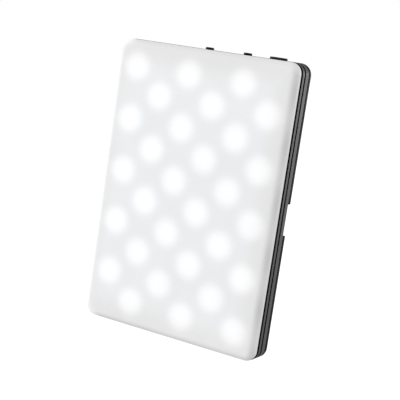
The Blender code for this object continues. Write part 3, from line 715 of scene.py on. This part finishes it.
def rear_cover():
    """Black shell with a rounded back edge, a chamfered clip channel and countersunk holes."""
    radius = COVER_ROUNDING
    profile = [(COVER_RIM[0], COVER_FRONT)]
    profile += soften([(COVER_RIM[1], COVER_FRONT, 0.0), (0.0, COVER_FRONT, SEAM_ROUNDING),
                       (0.0, THICKNESS, 0.0)])[:-1]
    for angle in quarter_turn(COVER_STEPS):
        profile.append((radius * (1 - math.cos(angle)), THICKNESS - radius * (1 - math.sin(angle))))
    profile += [(radius + ring, THICKNESS) for ring in BACK_RINGS]
    shell = outline_loft("rear_cover_shell", profile)

    half_width = HALF_WIDTH - HOUSING_WALL - BRIDGE_CLEARANCE
    wall_low, wall_high = CHANNEL[0] - CHANNEL_WALL, CHANNEL[1] + CHANNEL_WALL
    shape(shell, "UNION", block("channel_bridge", (-half_width, half_width),
                                (CHANNEL_FLOOR - CHANNEL_SKIN, BRIDGE_BACK), (wall_low, wall_high)))
    inner_x = (COVER_WALL - HALF_WIDTH, HALF_WIDTH - COVER_WALL)
    pocket_depth = (COVER_FRONT - POCKET_OVERCUT, THICKNESS - COVER_SKIN)
    for name, z in (("lower_pocket", (COVER_WALL, wall_low - POCKET_MARGIN)),
                    ("upper_pocket", (wall_high + POCKET_MARGIN, HEIGHT - COVER_WALL))):
        shape(shell, "DIFFERENCE", block(name, inner_x, pocket_depth, z))
    low, high = CHANNEL
    sections = ((low, CHANNEL_FLOOR), (high, CHANNEL_FLOOR), (high, THICKNESS - CHANNEL_CHAMFER),
                (high + CHANNEL_CHAMFER + CHANNEL_OVERCUT, THICKNESS + CHANNEL_OVERCUT),
                (low - CHANNEL_CHAMFER - CHANNEL_OVERCUT, THICKNESS + CHANNEL_OVERCUT),
                (low, THICKNESS - CHANNEL_CHAMFER))
    channel = loft("channel", [[point(x, depth, z) for z, depth in sections]
                               for x in (-CHANNEL_REACH, CHANNEL_REACH)])
    shape(shell, "DIFFERENCE", channel)
    for name, (x, z) in SCREWS.items():
        shape(shell, "UNION", drill(name + "_pillar", x, z, PILLAR))
        shape(shell, "DIFFERENCE", drill(name + "_sink", x, z, SINK))
    polish(shell)
    place(shell, "panel", BLACK_SHELL, "black_shell", "rear_cover")
    shell.data.materials.append(BLACK_BACK)
    for polygon in shell.data.polygons:
        if polygon.center.y / MM - FRONT_Y > THICKNESS - FLAT_TOLERANCE:
            polygon.material_index = 1


def cover_screw(node, x, z):
    """Countersunk screw with a cross recess and a slightly domed head."""
    top = box_mm(node)[1].y - FRONT_Y
    head = tuple((top - below, radius) for below, radius in SCREW_HEAD)
    screw = drill("detailed_" + node, x, z, SCREW_SHANK + head)
    for name, half_x, half_z in RECESS_ARMS:
        corners = ((-half_x, -half_z), (half_x, -half_z), (half_x, half_z), (-half_x, half_z))
        recess = loft(name, [[point(x + a * scale, top + rise, z + b * scale) for a, b in corners]
                             for rise, scale in RECESS_LEVELS])
        shape(screw, "DIFFERENCE", recess)
    polish(screw, angle=40)
    place(screw, "panel", SCREW_METAL, "screw_steel", node)


# ---------------------------------------------------------------- controls and socket

def crowned(name, x, half_length, low, high):
    """Upright stadium, as deep as a button is wide, with a rounded and slightly crowned top."""
    edge = high - CROWN
    flat = BUTTON_RADIUS - CAP_ROUNDING
    levels = [(low, 0.0)]
    for angle in quarter_turn(CAP_STEPS):
        levels.append((edge - CAP_ROUNDING * (1 - math.sin(angle)), -CAP_ROUNDING * (1 - math.cos(angle))))
    for drop, share in CROWN_RINGS:
        levels.append((high - CROWN * drop, -CAP_ROUNDING - share * flat))
    return loft(name, [stadium(x, CONTROL_DEPTH, half_length + grow, BUTTON_RADIUS + grow, z)
                       for z, grow in levels])


def winged_cap(node, x, half_length, wing_height):
    """Crowned cap of a control with the retaining wings at its foot."""
    low, high = box_mm(node)
    cap = crowned(node + "_cap", x, half_length, low.z + CAP_LIFT, high.z)
    depth = (CONTROL_DEPTH - WING_HALF_DEPTH, CONTROL_DEPTH + WING_HALF_DEPTH)
    shape(cap, "UNION", block("wings", (low.x, high.x), depth, (low.z, low.z + wing_height)))
    return cap


def button(node, body, x):
    """Round button with its retaining wings."""
    cap = winged_cap(node, x, BUTTON_RADIUS, BUTTON_WING)
    polish(cap)
    place(cap, body, BLACK_CONTROL, "black_control", node)


def rocker():
    """Long rocker with its wings and a bore for the pin."""
    node = "brightness_rocker"
    cap = winged_cap(node, ROCKER_X, ROCKER_HALF_LENGTH, ROCKER_WING)
    pin_low, pin_high = box_mm("rocker_pivot_pin")
    bore = [(depth, PIN_BORE_RADIUS) for depth in PIN_BORE_DEPTH]
    shape(cap, "DIFFERENCE", drill("pin_bore", ROCKER_X, (pin_low.z + pin_high.z) / 2, bore))
    polish(cap)
    place(cap, "brightness_key", BLACK_CONTROL, "black_control", node)


def usb_socket():
    """Drawn metal shell with a rolled mouth, and a contact tongue with gold strips."""
    levels = [(USB_LOW.z, 0.0)]
    levels += [(USB_HIGH.z - below, grow) for below, grow in USB_MOUTH]
    levels.append((USB_LOW.z + USB_BASE, -USB_WALL))
    shell = loft("usb_c_shell", [stadium(USB_X, USB_DEPTH, USB_HALF_LENGTH + grow, USB_HALF_DEPTH + grow, z)
                                 for z, grow in levels])
    polish(shell)
    place(shell, "panel", PLATED, "switch_metal", "usb_c_receptacle")

    tongue_low, tongue_high = box_mm("usb_c_tongue")
    half_length = (tongue_high.x - tongue_low.x) / 2
    half_depth = (tongue_high.y - tongue_low.y) / 2
    sections = ((tongue_low.z, 0.0), (tongue_high.z - USB_TONGUE_TIP, 0.0),
                (tongue_high.z, USB_TONGUE_TAPER))
    tongue = loft("usb_c_contact_tongue",
                  [[point(USB_X + a * (half_length + grow), USB_DEPTH + b * (half_depth + grow), z)
                    for a, b in ((-1, -1), (1, -1), (1, 1), (-1, 1))] for z, grow in sections])
    polish(tongue)
    place(tongue, "panel", CHIP, "chip_black", "usb_c_tongue")

    contact_z = (tongue_high.z - CONTACT_SPAN[0], tongue_high.z - CONTACT_SPAN[1])
    for side, face in (("front", -1), ("back", 1)):
        level = USB_DEPTH + face * (half_depth + CONTACT_LIFT)
        for number in range(CONTACTS):
            x = USB_X + (number - (CONTACTS - 1) / 2) * CONTACT_PITCH
            strip = block(f"usb_contact_{side}_{number}", (x - CONTACT_HALF_WIDTH, x + CONTACT_HALF_WIDTH),
                          (level - CONTACT_HALF_THICKNESS, level + CONTACT_HALF_THICKNESS), contact_z)
            place(strip, "panel", GOLD, "switch_metal")


def indicator_window():
    """Light pipe with a lens-like end."""
    low, high = box_mm("charge_indicator_window")
    levels = [(low.z, 0.0)] + [(high.z - below, grow) for below, grow in WINDOW_END]
    lens = loft("charge_indicator_lens", [stadium(WINDOW_X, CONTROL_DEPTH, WINDOW_RADIUS + grow,
                                                  WINDOW_RADIUS + grow, z) for z, grow in levels])
    polish(lens, angle=60)
    place(lens, "panel", CLEAR, "clear_plastic", "charge_indicator_window")


# ---------------------------------------------------------------- pieces that keep their CAD shape

def dress_inside():
    """Give each remaining CAD node the material of its slot."""
    by_slot = {"white_film": FILM, "white_board": BOARD_WHITE, "grey_pad": PAD, "screw_steel": SCREW_METAL,
               "switch_metal": PLATED, "chip_black": CHIP, "green_board": BOARD_GREEN,
               "white_connector": CONNECTOR, "clear_plastic": CLEAR, "battery_foil": FOIL,
               "lead_black": WIRE_BLACK, "lead_red": WIRE_RED, "black_control": BLACK_CONTROL,
               "black_shell": BLACK_SHELL, "graphite_shell": GRAPHITE, "opal_diffuser": OPAL}
    for row in frame["record"]["subparts"]:
        node = NODES[row["node"]]
        node.data.materials.clear()
        node.data.materials.append(by_slot[row["material_slot"]])


# ---------------------------------------------------------------- stage, light and camera

# In metres and watts from here on
FLOOR_HALF = 6.0
FLOOR_GREY = 0.3
FLOOR_ROUGHNESS = 0.9
FLOOR_LIGHT = 0.3
AMBIENT = 0.35
SOFTBOX_POWER = 2.0
SOFTBOXES = (("top_light", (0.15, -0.15, 0.75), 0.6),
             ("left_light", (-0.7, -0.25, 0.3), 0.5),
             ("back_light", (0.48, 0.7, 0.2), 0.3))
CAMERA_AT = (0.16997, -0.30308, 0.09607)
CAMERA_HEADING, CAMERA_PITCH, CAMERA_LEAN = 28.87, -7.98, 8.52
CAMERA_LENS = 94.58


def seen_and_lit(tree, shader_type, lit_strength):
    """White to the camera and dimmer for the light it gives; returns the mixed shader's output."""
    blend = tree.nodes.new("ShaderNodeMixShader")
    rays = tree.nodes.new("ShaderNodeLightPath")
    for socket, strength in ((blend.inputs[1], lit_strength), (blend.inputs[2], 1.0)):
        node = tree.nodes.new(shader_type)
        node.inputs["Color"].default_value = (1.0, 1.0, 1.0, 1.0)
        node.inputs["Strength"].default_value = strength
        tree.links.new(node.outputs[0], socket)
    tree.links.new(rays.outputs["Is Camera Ray"], blend.inputs[0])
    return blend.outputs[0]


def floor():
    """Wide pale floor that glows, so that it runs into the background."""
    bm = bmesh.new()
    bmesh.ops.create_grid(bm, x_segments=1, y_segments=1, size=FLOOR_HALF)
    mesh = bpy.data.meshes.new("floor")
    bm.to_mesh(mesh)
    bm.free()
    plane = bpy.data.objects.new("floor", mesh)
    bpy.context.scene.collection.objects.link(plane)
    material, tree, shader, _ = start_material("pale_floor")
    shader.inputs["Base Color"].default_value = (FLOOR_GREY, FLOOR_GREY, FLOOR_GREY, 1.0)
    shader.inputs["Roughness"].default_value = FLOOR_ROUGHNESS
    both = tree.nodes.new("ShaderNodeAddShader")
    tree.links.new(shader.outputs[0], both.inputs[0])
    tree.links.new(seen_and_lit(tree, "ShaderNodeEmission", FLOOR_LIGHT), both.inputs[1])
    tree.links.new(both.outputs[0], tree.nodes["Material Output"].inputs["Surface"])
    mesh.materials.append(material)


def background():
    """White background that lights the scene softly."""
    world = bpy.data.worlds.new("studio")
    world.use_nodes = True
    tree = world.node_tree
    tree.nodes.clear()
    output = tree.nodes.new("ShaderNodeOutputWorld")
    tree.links.new(seen_and_lit(tree, "ShaderNodeBackground", AMBIENT), output.inputs["Surface"])
    bpy.context.scene.world = world


def softbox(name, position, side):
    """Square area light aimed at the middle of the panel."""
    light = bpy.data.lights.new(name, "AREA")
    light.shape = "SQUARE"
    light.size = side
    light.energy = SOFTBOX_POWER
    lamp = bpy.data.objects.new(name, light)
    lamp.location = position
    lamp.visible_camera = False
    aim = Vector((0.0, 0.0, HEIGHT / 2 * MM)) - lamp.location
    lamp.rotation_euler = aim.to_track_quat("-Z", "Y").to_euler()
    bpy.context.scene.collection.objects.link(lamp)


def camera():
    """Long lens to the front right of the panel, at the height of its top edge, leaning a little."""
    heading, pitch, lean = (math.radians(angle) for angle in (CAMERA_HEADING, CAMERA_PITCH, CAMERA_LEAN))
    forward = Vector((-math.sin(heading) * math.cos(pitch), math.cos(heading) * math.cos(pitch),
                      math.sin(pitch)))
    lens = bpy.data.cameras.new("camera")
    lens.lens = CAMERA_LENS
    lens.sensor_width = 36.0
    lens.clip_start = 0.01
    eye = bpy.data.objects.new("camera", lens)
    eye.location = CAMERA_AT
    eye.rotation_mode = "QUATERNION"
    eye.rotation_quaternion = forward.to_track_quat("-Z", "Y") @ Quaternion((0, 0, 1), lean)
    bpy.context.scene.collection.objects.link(eye)
    bpy.context.scene.camera = eye
    bpy.context.scene.view_settings.view_transform = "Standard"


dress_inside()
diffuser()
front_frame()
housing()
rear_cover()
for screw_node, (screw_x, screw_z) in SCREWS.items():
    cover_screw(screw_node, screw_x, screw_z)
button("power_button", "power_key", POWER_X)
button("mode_button", "mode_key", MODE_X)
rocker()
usb_socket()
indicator_window()

floor()
background()
for softbox_row in SOFTBOXES:
    softbox(*softbox_row)
camera()
